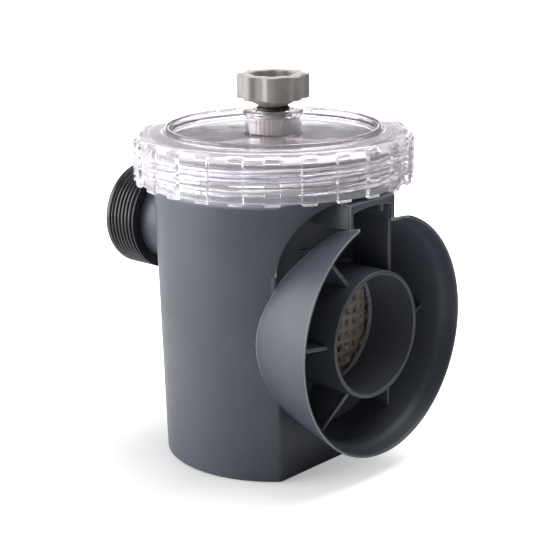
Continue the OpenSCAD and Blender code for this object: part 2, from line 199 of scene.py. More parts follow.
def join(*parts):
    """Several (points, faces) pairs as one pair."""
    points, faces, start = [], [], 0
    for p, f in parts:
        points.append(p)
        faces += [[start + k for k in face] for face in np.asarray(f, dtype=object).tolist()]
        start += len(p)
    return np.vstack(points), faces


# %% [markdown]
# ## From arrays to pieces
# `add_piece` puts points and faces into a mesh, merges the doubled points that seams and
# poles leave, turns all faces outwards, and tells the frame which body the piece rides on
# and which CAD nodes it stands for. Edges sharper than 32 degrees stay crisp.

# %% Piece helpers
SHARP = math.radians(32)
# drops per unit of distance where the painted edge highlight starts and where it is full
EDGE_START, EDGE_FULL = 0.12, 0.42
FOOT = 0.003


def merge_and_turn(mesh, merge=True):
    """Merges doubled points, drops flat faces and loose edges, turns all faces outwards."""
    work = bmesh.new()
    work.from_mesh(mesh)
    if merge:
        bmesh.ops.remove_doubles(work, verts=work.verts, dist=0.004 * MM)
        bmesh.ops.dissolve_degenerate(work, edges=work.edges, dist=0.002 * MM)
        loose = [edge for edge in work.edges if not edge.link_faces]
        bmesh.ops.delete(work, geom=loose, context="EDGES")
    bmesh.ops.recalc_face_normals(work, faces=work.faces)
    if work.calc_volume(signed=True) < 0:
        bmesh.ops.reverse_faces(work, faces=work.faces)
    work.to_mesh(mesh)
    work.free()


def new_object(name, shape, merge=True):
    """A mesh object from (points, faces), with points in millimetres."""
    points, faces = shape
    mesh = bpy.data.meshes.new(name)
    faces = faces.tolist() if isinstance(faces, np.ndarray) else faces
    mesh.from_pydata((np.asarray(points) * MM).tolist(), [], faces)
    merge_and_turn(mesh, merge)
    mesh.shade_smooth()
    mesh.set_sharp_from_angle(angle=SHARP)
    thing = bpy.data.objects.new(name, mesh)
    bpy.context.scene.collection.objects.link(thing)
    return thing


def settle(thing):
    """Applies a piece's modifiers, so that its mesh is its final shape."""
    graph = bpy.context.evaluated_depsgraph_get()
    final = bpy.data.meshes.new_from_object(thing.evaluated_get(graph))
    thing.modifiers.clear()
    thing.data = final
    final.shade_smooth()
    final.set_sharp_from_angle(angle=SHARP)


def round_edges(thing, width, segments=3, angle=40):
    """Rounds a piece's hard edges by width millimetres."""
    bevel = thing.modifiers.new("rounded", "BEVEL")
    bevel.width = width * MM
    bevel.segments = segments
    bevel.limit_method = "ANGLE"
    bevel.angle_limit = math.radians(angle)
    bevel.harden_normals = False
    settle(thing)


def mark_edges(mesh):
    """Writes how convex the surface is at each point as the attribute edge, from 0 to 1.

    It is the most, over a point's neighbours, that a neighbour lies below the point's
    tangent plane, per unit of distance. Flat places give 0 and outer edges more. Edges
    that stand on the floor give 0 too, as no light reaches them. The materials paint a
    highlight on outer edges from it, for the light that rounded edges catch.
    """
    count = len(mesh.vertices)
    place, normal = np.empty(count * 3), np.empty(count * 3)
    mesh.vertices.foreach_get("co", place)
    mesh.vertices.foreach_get("normal", normal)
    place, normal = place.reshape(-1, 3), normal.reshape(-1, 3)
    ends = np.empty(len(mesh.edges) * 2, np.int32)
    mesh.edges.foreach_get("vertices", ends)
    i, j = ends.reshape(-1, 2).T
    away = place[j] - place[i]
    away /= np.maximum(np.linalg.norm(away, axis=1), 1e-9)[:, None]
    drop = np.zeros(count)
    np.maximum.at(drop, i, -(away * normal[i]).sum(1))
    np.maximum.at(drop, j, (away * normal[j]).sum(1))
    # how strongly each point gets the painted edge highlight
    wear_and_highlight = np.clip((drop - EDGE_START) / (EDGE_FULL - EDGE_START), 0, 1)
    wear_and_highlight *= np.clip((place[:, 2] - FOOT) / FOOT, 0, 1)
    layer = mesh.attributes.new("edge", "FLOAT", "POINT")
    layer.data.foreach_set("value", wear_and_highlight.astype(np.float32))


def add_piece(name, shape, body, nodes, material, edge=0.0, holes=(), merge=True):
    """Makes a finished piece. edge rounds hard edges, and holes are cut out of it."""
    thing = new_object(name, shape, merge)
    for hole in holes:
        cutter = new_object("cutter", hole)
        cut = thing.modifiers.new("hole", "BOOLEAN")
        cut.operation = "DIFFERENCE"
        cut.solver = "MANIFOLD"
        cut.object = cutter
        settle(thing)
        merge_and_turn(thing.data, merge=False)
        bpy.data.objects.remove(cutter)
    if edge:
        round_edges(thing, edge)
    merge_and_turn(thing.data, merge=False)
    mark_edges(thing.data)
    thing.data.materials.clear()
    thing.data.materials.append(material)
    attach(thing, body)
    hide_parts(*nodes)
    triangles = sum(len(f.vertices) - 2 for f in thing.data.polygons)
    print(f"{name}: {len(thing.data.vertices)} points, {triangles} triangles, on {body}")
    return thing


# %% [markdown]
# ## Finishes
# All of the plastics share two effects, so each effect is a node group. `moulded skin` is
# what a spark-eroded mould leaves: a very fine grain, plus a slow drift of tone. `handling`
# is a soft mask of faint rubs and dust that makes some places a little rougher. The shader
# itself stays in each material.

# %% Node groups


def group(name, inputs, outputs):
    """An empty shader node group with named sockets. Returns the tree and its two ends."""
    tree = bpy.data.node_groups.new(name, "ShaderNodeTree")
    for label, kind, value in inputs:
        socket = tree.interface.new_socket(label, in_out="INPUT", socket_type=kind)
        if value is not None:
            socket.default_value = value
    for label, kind in outputs:
        tree.interface.new_socket(label, in_out="OUTPUT", socket_type=kind)
    return tree, tree.nodes.new("NodeGroupInput"), tree.nodes.new("NodeGroupOutput")


def noise(tree, vector, scale, detail=3.0, roughness=0.5):
    """A noise texture fed with a vector and a scale socket or number."""
    node = tree.nodes.new("ShaderNodeTexNoise")
    node.inputs["Detail"].default_value = detail
    node.inputs["Roughness"].default_value = roughness
    tree.links.new(vector, node.inputs["Vector"])
    if isinstance(scale, (int, float)):
        node.inputs["Scale"].default_value = scale
    else:
        tree.links.new(scale, node.inputs["Scale"])
    return node.outputs["Fac"]


def remap(tree, value, low_in, high_in, low_out, high_out):
    """Maps a value from one range to another, held at both ends."""
    node = tree.nodes.new("ShaderNodeMapRange")
    tree.links.new(value, node.inputs["Value"])
    for label, number in (("From Min", low_in), ("From Max", high_in),
                          ("To Min", low_out), ("To Max", high_out)):
        if isinstance(number, (int, float)):
            node.inputs[label].default_value = number
        else:
            tree.links.new(number, node.inputs[label])
    return node.outputs["Result"]


def mix_colour(tree, factor, first, second):
    """Mixes two colours, each a socket or a tuple, by a factor socket."""
    node = tree.nodes.new("ShaderNodeMix")
    node.data_type = "RGBA"
    tree.links.new(factor, node.inputs["Factor"])
    for label, colour in (("A", first), ("B", second)):
        socket = next(s for s in node.inputs if s.name == label and s.type == "RGBA")
        if isinstance(colour, tuple):
            socket.default_value = colour
        else:
            tree.links.new(colour, socket)
    return next(s for s in node.outputs if s.type == "RGBA")


FLOAT, COLOUR, VECTOR = "NodeSocketFloat", "NodeSocketColor", "NodeSocketVector"

moulded_skin, ends_in, ends_out = group(
    "moulded skin",
    [("Vector", VECTOR, None), ("Light tone", COLOUR, None), ("Dark tone", COLOUR, None),
     ("Grain scale", FLOAT, 1400.0)],
    [("Color", COLOUR), ("Height", FLOAT)])
drift = noise(moulded_skin, ends_in.outputs["Vector"], 22.0, 4.0, 0.55)
fleck = noise(moulded_skin, ends_in.outputs["Vector"], 480.0, 2.0, 0.6)
tone = mix_colour(moulded_skin, remap(moulded_skin, drift, 0.35, 0.65, 0.0, 1.0),
                  ends_in.outputs["Light tone"], ends_in.outputs["Dark tone"])
speck = mix_colour(moulded_skin, remap(moulded_skin, fleck, 0.55, 0.80, 0.0, 0.012),
                   tone, (1.0, 1.0, 1.0, 1.0))
grain = noise(moulded_skin, ends_in.outputs["Vector"], ends_in.outputs["Grain scale"], 2.0, 0.6)
moulded_skin.links.new(speck, ends_out.inputs["Color"])
moulded_skin.links.new(grain, ends_out.inputs["Height"])

handling, ends_in, ends_out = group(
    "handling",
    [("Vector", VECTOR, None), ("Smooth", FLOAT, 0.4), ("Rubbed", FLOAT, 0.55)],
    [("Roughness", FLOAT), ("Mask", FLOAT)])
cloud = noise(handling, ends_in.outputs["Vector"], 45.0, 5.0, 0.65)
streaks = noise(handling, ends_in.outputs["Vector"], 260.0, 3.0, 0.7)
blend = handling.nodes.new("ShaderNodeMath")
blend.operation = "MULTIPLY"
handling.links.new(remap(handling, cloud, 0.42, 0.68, 0.0, 1.0), blend.inputs[0])
handling.links.new(remap(handling, streaks, 0.35, 0.70, 0.3, 1.0), blend.inputs[1])
handling.links.new(remap(handling, blend.outputs[0], 0.0, 1.0,
                         ends_in.outputs["Smooth"], ends_in.outputs["Rubbed"]),
                   ends_out.inputs["Roughness"])
handling.links.new(blend.outputs[0], ends_out.inputs["Mask"])
print("node groups:", [g.name for g in bpy.data.node_groups])

# %% [markdown]
# ## Materials
# `moulded` makes any opaque plastic or rubber from its two tones and its roughness, with a
# highlight painted on its outer edges where a material asks for one. Its bump is only a few
# hundredths of a millimetre, as on the real skin.

# %% Opaque plastics and rubber


def start_material(name):
    """A material with an output, a Principled shader and object coordinates."""
    material = bpy.data.materials.new(name)
    material.use_nodes = True
    tree = material.node_tree
    tree.nodes.clear()
    output = tree.nodes.new("ShaderNodeOutputMaterial")
    shader = tree.nodes.new("ShaderNodeBsdfPrincipled")
    place = tree.nodes.new("ShaderNodeTexCoord").outputs["Object"]
    return material, tree, output, shader, place


def use_group(tree, which, **links):
    """Places a node group. A link value is a socket, a colour tuple or a number."""
    node = tree.nodes.new("ShaderNodeGroup")
    node.node_tree = which
    for label, value in links.items():
        socket = node.inputs[label.replace("_", " ")]
        if isinstance(value, (int, float, tuple)):
            socket.default_value = value
        else:
            tree.links.new(value, socket)
    return node


def moulded(name, light, dark, smooth, rubbed, grain_depth=0.02, specular=0.5, grain=1400.0,
            edge=(0.46, 0.47, 0.51, 1), edge_highlight_share=0.0):
    """An opaque moulded plastic or rubber, with a highlight in the edge colour painted on its
    outer edges by edge_highlight_share.
    """
    material, tree, output, shader, place = start_material(name)
    skin = use_group(tree, moulded_skin, Vector=place, Light_tone=light, Dark_tone=dark,
                     Grain_scale=grain)
    wear_and_highlight = use_group(tree, handling, Vector=place, Smooth=smooth, Rubbed=rubbed)
    bump = tree.nodes.new("ShaderNodeBump")
    bump.inputs["Strength"].default_value = 0.5
    bump.inputs["Distance"].default_value = grain_depth * MM
    tree.links.new(skin.outputs["Height"], bump.inputs["Height"])
    # The edge attribute paints a highlight in the edge colour on outer edges, for the light that
    # rounded edges catch.
    convex = tree.nodes.new("ShaderNodeAttribute")
    convex.attribute_name = "edge"
    rim = remap(tree, convex.outputs["Fac"], 0.0, 1.0, 0.0, edge_highlight_share)
    tree.links.new(mix_colour(tree, rim, skin.outputs["Color"], edge),
                   shader.inputs["Base Color"])
    tree.links.new(wear_and_highlight.outputs["Roughness"], shader.inputs["Roughness"])
    tree.links.new(bump.outputs["Normal"], shader.inputs["Normal"])
    shader.inputs["Specular IOR Level"].default_value = specular
    tree.links.new(shader.outputs[0], output.inputs["Surface"])
    return material


# The edge colours and shares of these materials paint a highlight on outer edges.
slate = moulded("slate plastic", (0.062, 0.070, 0.090, 1), (0.053, 0.060, 0.078, 1), 0.36, 0.48,
                grain_depth=0.03, edge_highlight_share=0.85)
black = moulded("black plastic", (0.020, 0.020, 0.023, 1), (0.013, 0.013, 0.015, 1), 0.26, 0.42,
                edge=(0.075, 0.070, 0.080, 1), edge_highlight_share=0.8)
rubber = moulded("seal rubber", (0.020, 0.020, 0.020, 1), (0.012, 0.012, 0.012, 1), 0.42, 0.60)
warm_grey = moulded("knob plastic", (0.40, 0.375, 0.36, 1), (0.35, 0.33, 0.315, 1), 0.22, 0.36,
                    edge=(0.62, 0.60, 0.58, 1), edge_highlight_share=0.7)
basket_tone = moulded("basket plastic", (0.42, 0.37, 0.33, 1), (0.33, 0.285, 0.25, 1), 0.38,
                      0.55, edge=(0.5, 0.46, 0.42, 1), edge_highlight_share=0.4)

# %% [markdown]
# The clear parts are polished plastic, a little less dense to light than window glass. A
# faint waviness is left by the mould. Light from the lamps passes straight through for
# shadows, because a traced shadow through clear plastic would come out far too dark. The
# collar is a little milkier than the cover, as thicker mouldings are.

# %% Clear plastic


def clear_plastic(name, colour, waviness, clearness):
    """Polished clear plastic with a slightly wavy skin. Less clearness is milkier."""
    material, tree, output, shader, place = start_material(name)
    shader.inputs["Base Color"].default_value = colour
    shader.inputs["Transmission Weight"].default_value = clearness
    shader.inputs["IOR"].default_value = 1.46
    wear_and_highlight = use_group(tree, handling, Vector=place, Smooth=0.015, Rubbed=0.09)
    tree.links.new(wear_and_highlight.outputs["Roughness"], shader.inputs["Roughness"])
    skin = use_group(tree, moulded_skin, Vector=place, Grain_scale=110.0)
    bump = tree.nodes.new("ShaderNodeBump")
    bump.inputs["Strength"].default_value = 0.35
    bump.inputs["Distance"].default_value = waviness * MM
    tree.links.new(skin.outputs["Height"], bump.inputs["Height"])
    tree.links.new(bump.outputs["Normal"], shader.inputs["Normal"])
    through = tree.nodes.new("ShaderNodeBsdfTransparent")
    rays = tree.nodes.new("ShaderNodeLightPath")
    choose = tree.nodes.new("ShaderNodeMixShader")
    tree.links.new(rays.outputs["Is Shadow Ray"], choose.inputs["Fac"])
    tree.links.new(shader.outputs[0], choose.inputs[1])
    tree.links.new(through.outputs[0], choose.inputs[2])
    tree.links.new(choose.outputs[0], output.inputs["Surface"])
    return material


clear = clear_plastic("clear plastic", (0.970, 0.940, 0.985, 1), 0.014, 0.965)
milky = clear_plastic("clear collar plastic", (0.970, 0.938, 0.985, 1), 0.010, 0.90)
print("materials:", [m.name for m in bpy.data.materials if m.users or m in (slate, clear)])

# %% [markdown]
# ## The pot
# The pot is a slightly tapered round shell with a flat on the pump's side. The flat runs up
# into an arch under the neck. Seen from above, the radius in a direction is the smaller of
# the round wall's and the flat's, blended so that the crease between them is soft. The
# arch's ceiling steps back out to the round wall. One closed loop of points from the base,
# up the outside and down the inside, is worked out for every direction at once. The two
# pipe holes are cut afterwards.

# %% Pot shape
ARCH_HALF, ARCH_TOP, ARCH_CORNER = 48.0, 150.6, 36.0
ARCH_LIP, CREASE = 7.0, 1.6
OUTLET_CUT, INLET_CUT = (25, 90), (-90, -45)


def pot_radius(z):
    """Outside radius of the pot's round wall at height z: a straight taper."""
    return POT_R_FLOOR + (POT_R_TOP - POT_R_FLOOR) * z / POT_TOP


def soft_smaller(a, b, width):
    """The smaller of a and b, with the crease rounded over width."""
    h = np.clip(0.5 + 0.5 * (b - a) / width, 0, 1)
    return b + (a - b) * h - width * h * (1 - h)


def arch_height(angle):
    """Height of the arch's edge on the round wall, level in the middle and round beyond."""
    y = np.abs(POT_R_TOP * np.sin(angle))
    beside = np.clip(y - (ARCH_HALF - ARCH_CORNER), 0, ARCH_CORNER)
    height = ARCH_TOP - ARCH_CORNER + np.sqrt(ARCH_CORNER**2 - beside**2)
    return np.where(np.cos(angle) > 0, height, ARCH_TOP - ARCH_CORNER)


def pot_columns():
    """Directions round the pot, close together where the arch bends."""
    bend = np.linspace(0, np.pi / 2, 30)
    y = (ARCH_HALF - ARCH_CORNER) + ARCH_CORNER * np.sin(bend)
    side = np.arcsin(y / POT_R_TOP)
    middle = np.linspace(-side[0], side[0], 14)[1:-1]
    back = np.linspace(side[-1], 2 * np.pi - side[-1], 170)[1:-1]
    return np.concatenate([-side[::-1], middle, side, back])


def pot_wall(angle, inset, z_low, z_high):
    """Rows of (radius, height) up one side of the wall, inset millimetres inside the skin.

    Three stretches: up the flat to the arch, a step out along its ceiling with both of its
    corners rounded, and on up the round wall.
    """
    arch = arch_height(angle) + inset

    def lower(z):
        flat = (FLAT_X - inset) / np.maximum(np.cos(angle), 0.05)
        flat = np.where(np.cos(angle) > 0.05, flat, 1e3)
        return soft_smaller(pot_radius(z) - inset, flat, CREASE)

    inner, outer = lower(arch), pot_radius(arch) - inset
    depth = 0.45 * np.abs(outer - inner)
    reach = np.minimum(CREASE, depth)
    lip = np.minimum(CREASE if inset else ARCH_LIP, depth)
    rows = []
    for t in np.linspace(0, 1, 26):
        z = z_low + (arch - reach - z_low) * t
        rows.append((lower(z), z))
    for t in np.linspace(0, 1, 6)[1:]:
        rows.append((inner + reach * t**2, arch - reach * (1 - t) ** 2))
    for t in np.linspace(0, 1, 9):
        rows.append((outer - lip * (1 - t) ** 2, arch + lip * 0.6 * t**2))
    for t in np.linspace(0, 1, 10)[1:]:
        z = arch + lip * 0.6 + (z_high - arch - lip * 0.6) * t
        rows.append((pot_radius(z) - inset, z))
    return rows


def pot_shape():
    """The pot as one closed loop of rows for every direction."""
    angle = pot_columns()
    one = np.ones_like(angle)
    foot = [(0 * one, 0 * one), (pot_wall(angle, 0, 0, POT_TOP)[0][0] - 1.0, 0 * one)]
    outside = pot_wall(angle, 0, 0.8, POT_TOP)
    inside = pot_wall(angle, WALL, 4.5, POT_TOP)[::-1]
    hollow = [(inside[-1][0] - 1.5, 3.0 * one), (0 * one, 3.0 * one)]
    rows = foot + outside + inside + hollow
    r = np.array([row[0] for row in rows])
    z = np.array([row[1] * one for row in rows])
    points = np.stack([r * np.cos(angle), r * np.sin(angle), z], -1).reshape(-1, 3)
    return points, quads(len(rows), len(angle))


def rod(radius, start, end, height, turns=128):
    """A plain closed cylinder along X at the given height, used as a cutter."""
    ring = [[0, start], [radius, start], [radius, end], [0, end]]
    return turned(ring, turns, "x", height)


POT_NODES = ["pot_floor", "pot_back_wall", "pot_left_wall", "pot_right_wall",
             "outlet_wall", "recess_wall", "recess_arch"]
add_piece("pot", pot_shape(), "housing", POT_NODES, slate,
          holes=[rod(TUBE_BORE, *OUTLET_CUT, OUTLET_Z),
                 rod(INLET_BORE, *INLET_CUT, INLET_Z)])

# %% [markdown]
# ## The neck and its thread
# The thread is cut by adding a ridge to the neck's radius. The ridge's place along the neck
# moves up by one pitch for each turn, which is all that a helix is. It fades in and out at
# its ends, as a moulded thread does. The same function cuts the nipple's thread.

# %% Threads


def ramp(x, low_x, high_x):
    """0 below low_x, 1 above high_x, and a smooth rise between them."""
    t = np.clip((x - low_x) / (high_x - low_x), 0, 1)
    return t * t * (3 - 2 * t)


def thread_ridge(d, angle, pitch, start, end, crest, foot, hand=1):
    """Height from 0 to 1 of a helical ridge at distance d along the axis.

    The distance to the nearest turn of the helix gives a flat crest and sloping flanks.
    """
    turns_up = (d - start) / pitch - hand * angle / (2 * np.pi)
    off = np.abs((turns_up + 0.5) % 1.0 - 0.5) * pitch
    ridge = 1 - ramp(off, crest / 2, foot / 2)
    return ridge * ramp(d, start, start + pitch * 0.5) * (1 - ramp(d, end - pitch * 0.5, end))


PITCH = 5.0
NECK_R = 66.8
NECK_CREST = radius_of("neck_ring")
LEDGE_R, NECK_BORE, LEDGE = 58.2, 61.4, 3.0


def neck_shape():
    """The neck's closed profile, with its thread raised on the outside."""
    corners = [[LEDGE_R, POT_TOP], [NECK_R, POT_TOP], [NECK_R, NECK_TOP],
               [NECK_BORE, NECK_TOP], [NECK_BORE, POT_TOP + LEDGE], [LEDGE_R, POT_TOP + LEDGE]]
    profile = fill_in(soften(corners, [0.4, 0.5, 0.9, 0.7, 0.5, 0.5]), 0.35)

    def shape(r, d, a):
        rise = thread_ridge(d, a, PITCH, POT_TOP + 2.2, NECK_TOP - 0.8, 1.2, 3.2)
        return r + np.where(r > NECK_R - 0.05, rise * (NECK_CREST - NECK_R - 0.02), 0), d

    return turned(profile, 216, shape=shape)


add_piece("neck", neck_shape(), "housing", ["neck_ring"], slate)

# %% [markdown]
# ## The inlet: spout and nipple
# The spout is part of the housing moulding. The black nipple slides on to it and carries
# the hose thread: a plain lip, seven fine turns and a flat back. An O-ring seals the two.

# %% Inlet
NIPPLE_PITCH = 2.86
NIPPLE_ROOT = 28.5
NIPPLE_LIP = 3.0


def spout_shape():
    """A plain tube from inside the pot's wall to its end inside the nipple."""
    root = -(POT_R_TOP - 5.4)
    corners = [[INLET_BORE, root], [SPOUT_R, root], [SPOUT_R, -SPOUT_END],
               [INLET_BORE, -SPOUT_END]]
    return turned(soften(corners, [0.1, 0.1, 0.7, 0.7]), 128, "x", INLET_Z)


def nipple_shape():
    """The nipple's closed profile, with its thread raised between lip and back."""
    end, back = -NIPPLE_END, -NIPPLE_BACK
    stop = -SPOUT_END - 0.8
    bore, mouth = SPOUT_R + 0.05, 25.4
    corners = [[mouth, end], [NIPPLE_R, end], [NIPPLE_R, end + NIPPLE_LIP],
               [NIPPLE_ROOT, end + NIPPLE_LIP + 0.5], [NIPPLE_ROOT, back - 1.3],
               [NIPPLE_R, back - 0.9], [NIPPLE_R, back], [bore, back],
               [bore, back - 3.4], [bore + 2.2, back - 3.4], [bore + 2.2, back - 6.6],
               [bore, back - 6.6], [bore, stop], [mouth, stop]]
    radii = [0.5, 0.7, 0.4, 0.3, 0.3, 0.3, 0.6, 0.4, 0.2, 0.3, 0.3, 0.2, 0.3, 0.3]
    profile = fill_in(soften(corners, radii), 0.22)

    def shape(r, d, a):
        rise = thread_ridge(d, a, NIPPLE_PITCH, end + NIPPLE_LIP + 0.3, back - 0.6, 0.8, 2.3)
        skin = (r > NIPPLE_ROOT - 0.05) & (r < NIPPLE_R)
        return r + np.where(skin, rise * (NIPPLE_R - 0.02 - r), 0), d

    return turned(profile, 180, "x", INLET_Z, shape)


def ring_shape(centre_r, thick_r, at, axis="z", height=0.0, turns=128):
    """An O-ring: a round section turned about an axis."""
    t = np.linspace(0, 2 * np.pi, 24, endpoint=False)
    profile = np.stack([centre_r + thick_r * np.cos(t), at + thick_r * np.sin(t)], -1)
    return turned(profile, turns, axis, height)


add_piece("spout", spout_shape(), "housing", ["inlet_spout"], slate)
add_piece("nipple", nipple_shape(), "housing", ["inlet_nipple"], black)
add_piece(
    "nipple_seal", ring_shape(SPOUT_R + 1.2, 1.1, -NIPPLE_BACK - 5, "x", INLET_Z),
    "housing", ["nipple_o_ring"], rubber)

# %% [markdown]
# ## The outlet tube and the shroud
# The tube is a plain turned ring with a softly rounded mouth. The shroud is a thin cone that
# follows the pot's outside at the back, is level at the rim and has a notch at the top for
# the latch. Its section, a thin strip with a round lip, is a closed loop; each point of it
# is carried round the outlet's axis from one side of the notch to the other. The back end
# of the strip is found by stepping towards the point where the cone meets the pot.

# %% Outlet tube and shroud
SHROUD_END = high("outlet_shroud")[0]
SHROUD_R = radius_of("outlet_shroud")
SHROUD_SLOPE = 0.277
SHROUD_WALL = 2.0
LIP_X, LIP_STEP = 70.0, 0.5
NOTCH = 18.4


def tube_shape():
    """The outlet tube, with a rounded mouth."""
    corners = [[TUBE_BORE, FLAT_X - 0.4], [TUBE_R, FLAT_X - 0.4], [TUBE_R, TUBE_END],
               [TUBE_BORE, TUBE_END]]
    return turned(soften(corners, [0.1, 0.1, 1.0, 1.0], 7), 180, "x", OUTLET_Z)


def shroud_radius(x):
    """Outside radius of the shroud's cone at distance x from the pot's axis."""
    return SHROUD_R - SHROUD_SLOPE * (SHROUD_END - x)


def pot_face(y, z):
    """How far out the pot's outside is along X, at a place seen along X, less an overlap.

    Above the outlet the shroud stops at the pot's round form, short of the flat behind.
    """
    round_x = np.sqrt(np.maximum(pot_radius(z) ** 2 - y**2, 1.0))
    trimmed = np.sqrt(np.maximum((pot_radius(z) - 1.5) ** 2 - y**2, 1.0))
    flat = np.minimum(round_x, FLAT_X) - 0.5
    high_up = ramp(z, INLET_Z - 11, INLET_Z - 7)
    return flat + (np.maximum(trimmed, flat) - flat) * high_up


def shroud_shape():
    """The shroud's strip section carried round from one side of the notch to the other."""
    around = np.linspace(0, 1, 300)
    # strip of the section: 0 at the back end, 1 at the rim; side 0 outside, 1 inside
    along = np.concatenate([np.linspace(0, 0.96, 34), [0.98, 0.992, 0.998, 1.0]])
    outer = np.stack([along, np.zeros_like(along)], -1)
    inner = outer[::-1] + [0, 1]
    strip = np.vstack([outer, [[1.0, 0.5]], inner, [[0.0, 0.5]]])
    s, side = strip[:, :1], strip[:, 1:]

    def notch_angle(r):
        return np.arcsin(np.minimum(NOTCH / r, 0.9))

    def place(x, r):
        gap = notch_angle(r)
        return np.pi / 2 + gap + around[None, :] * (2 * np.pi - 2 * gap)

    # rim pulled back near the notch, so that its two corners are round
    edge = np.minimum(around, 1 - around) * (2 * np.pi * SHROUD_R - 2 * NOTCH)
    corner = 5.0
    pull = corner - np.sqrt(np.maximum(corner**2 - np.maximum(corner - edge, 0) ** 2, 0))
    rim_x = SHROUD_END - 0.06 - pull[None, :]
    back_x = np.full((1, len(around)), 40.0)
    for _ in range(24):
        r = shroud_radius(back_x)
        a = place(back_x, r)
        target = pot_face(r * np.cos(a), OUTLET_Z + r * np.sin(a))
        back_x = back_x + 0.5 * (target - back_x)
    x = back_x + (rim_x - back_x) * s
    step = LIP_STEP * ramp(x, LIP_X - 3.0, LIP_X + 2.0)
    thin = SHROUD_WALL - step
    # both ends of the notch taper to a rounded edge
    near = np.clip(np.minimum(around, 1 - around)[None, :] * 330, 0, 1)
    keep = np.sqrt(1 - (1 - near) ** 2) * 0.5
    depth = 0.5 + (side - 0.5) * 2 * keep
    lip_round = np.where(s > 0.97, np.sqrt(np.maximum(1 - ((s - 0.97) / 0.03) ** 2, 0)), 1)
    depth = 0.5 + (depth - 0.5) * (0.35 + 0.65 * lip_round)
    r = shroud_radius(x) - thin * depth - 0.03
    a = place(x, r)
    points = np.stack([x + 0 * a, r * np.cos(a), OUTLET_Z + r * np.sin(a)], -1)
    body = quads(len(strip), len(around), wrap_cols=False)
    n, rows = len(around), len(strip)
    caps = [[k * n for k in range(rows)], [k * n + n - 1 for k in range(rows)][::-1]]
    return points.reshape(-1, 3), body.tolist() + caps


add_piece("outlet_pipe", tube_shape(), "housing", ["outlet_tube"], slate)
add_piece("shroud", shroud_shape(), "housing", ["outlet_shroud"], slate)

# %% [markdown]
# ## Gussets and latch bracket
# Five plates brace the shroud from the tube. Their front edges slope back as they go out.
# The bracket over the notch takes the pump's latch: a front plate with an arched eye, a
# roof and two side walls, one of which runs on down to the tube.

# %% Gussets
GUSSET_T, GUSSET_FRONT, GUSSET_SLOPE = 2.0, 67.0, 0.38
GUSSET_ANGLES = (0, 120, 180, 240, 300)


def gusset_shape(degrees):
    """One plate in the direction given, from the tube out to the shroud's inside."""
    a = math.radians(degrees)
    outward = np.array([0, math.cos(a), math.sin(a)])
    side = np.array([0, -math.sin(a), math.cos(a)])
    x = np.array([FLAT_X - 8, FLAT_X - 8, GUSSET_FRONT - 9, GUSSET_FRONT])
    far_r = shroud_radius(x[2]) - SHROUD_WALL + 0.5
    x[2] = GUSSET_FRONT - GUSSET_SLOPE * (far_r - TUBE_R)
    r = np.array([TUBE_R - 0.5, shroud_radius(x[1]) - SHROUD_WALL + 0.3, far_r, TUBE_R - 0.5])
    origin = np.array([0, 0, OUTLET_Z]) - side * GUSSET_T / 2
    return plate(np.stack([x, r], -1), GUSSET_T, origin, (1, 0, 0), outward, side)


add_piece("gussets", join(*[gusset_shape(a) for a in GUSSET_ANGLES]), "housing",
          ["shroud_gussets"], slate, edge=0.45)

# %% Latch bracket
LATCH_X = high("latch_bracket")[0]
LATCH_HALF = radius_of("latch_bracket")
LATCH_T, LATCH_WALL, LATCH_LOW = 2.5, 2.3, 137.5
EYE_SIDE, EYE_MID = 145.8, 147.4


def bracket_front():
    """The front plate: an arch outline, seen along X."""
    y = np.linspace(-1, 1, 25)
    inner = LATCH_HALF - LATCH_WALL
    eye = np.stack([inner * y, EYE_MID - (EYE_MID - EYE_SIDE) * y**2], -1)
    outline = np.vstack([
        [[-LATCH_HALF, LATCH_LOW], [-inner, LATCH_LOW]], eye,
        [[inner, LATCH_LOW], [LATCH_HALF, LATCH_LOW], [LATCH_HALF, ARCH_TOP],
         [-LATCH_HALF, ARCH_TOP]]])
    return plate(outline, LATCH_T, (LATCH_X - LATCH_T, 0, 0), (0, 1, 0), (0, 0, 1), (1, 0, 0))


def block(x0, x1, y0, y1, z0, z1):
    """A plain box as a plate, for walls and roofs."""
    return plate([[x0, y0], [x1, y0], [x1, y1], [x0, y1]], z1 - z0, (0, 0, z0),
                 (1, 0, 0), (0, 1, 0), (0, 0, 1))


front = LATCH_X - LATCH_T + 0.3
inner_y = LATCH_HALF - LATCH_WALL
tube_top = OUTLET_Z + math.sqrt(TUBE_R**2 - LATCH_HALF**2) - 0.6
peg = turned(soften([[0, EYE_MID - 4], [1.2, EYE_MID - 4], [1.2, EYE_MID + 1],
                     [0, EYE_MID + 1]], 0.3), 24)
peg = (peg[0] + [front + LATCH_T / 2 - 0.3, 8, 0], peg[1])
add_piece(
    "latch_frame",
    join(bracket_front(),
         block(FLAT_X - 0.5, front, -LATCH_HALF, LATCH_HALF, ARCH_TOP - 2, ARCH_TOP),
         block(FLAT_X - 0.5, front, -LATCH_HALF, -inner_y, LATCH_LOW, ARCH_TOP - 1),
         block(FLAT_X - 0.5, front, inner_y, LATCH_HALF, LATCH_LOW - 1, ARCH_TOP - 1),
         block(FLAT_X - 0.5, GUSSET_FRONT, inner_y, LATCH_HALF, tube_top, LATCH_LOW), peg),
    "housing", ["latch_bracket"], slate, edge=0.35)

# %% [markdown]
# ## The clear cover
# The cover is one turned piece: a flange that the collar presses on the gasket, a ring that
# stands up through the collar, and a plate with an air hole. The valve's seat stands on
# the plate and a short tube hangs below it. The gasket has an L section.

# %% Cover, seat and gasket
PLATE_TOP = PLATE_LOW + 2.8
RING_R = 58.8
SEAT_R, SEAT_FLANGE, SEAT_MOUTH = 15.25, radius_of("valve_seat"), 9.9
SEAT_BORE = radius_of("valve_bushing")
BUSHING_TOP = high("valve_bushing")[2]
AIR_HOLE, AIR_TUBE_R, AIR_TUBE_BORE = 4.0, 6.75, 5.2
GASKET_LIP = 4.0


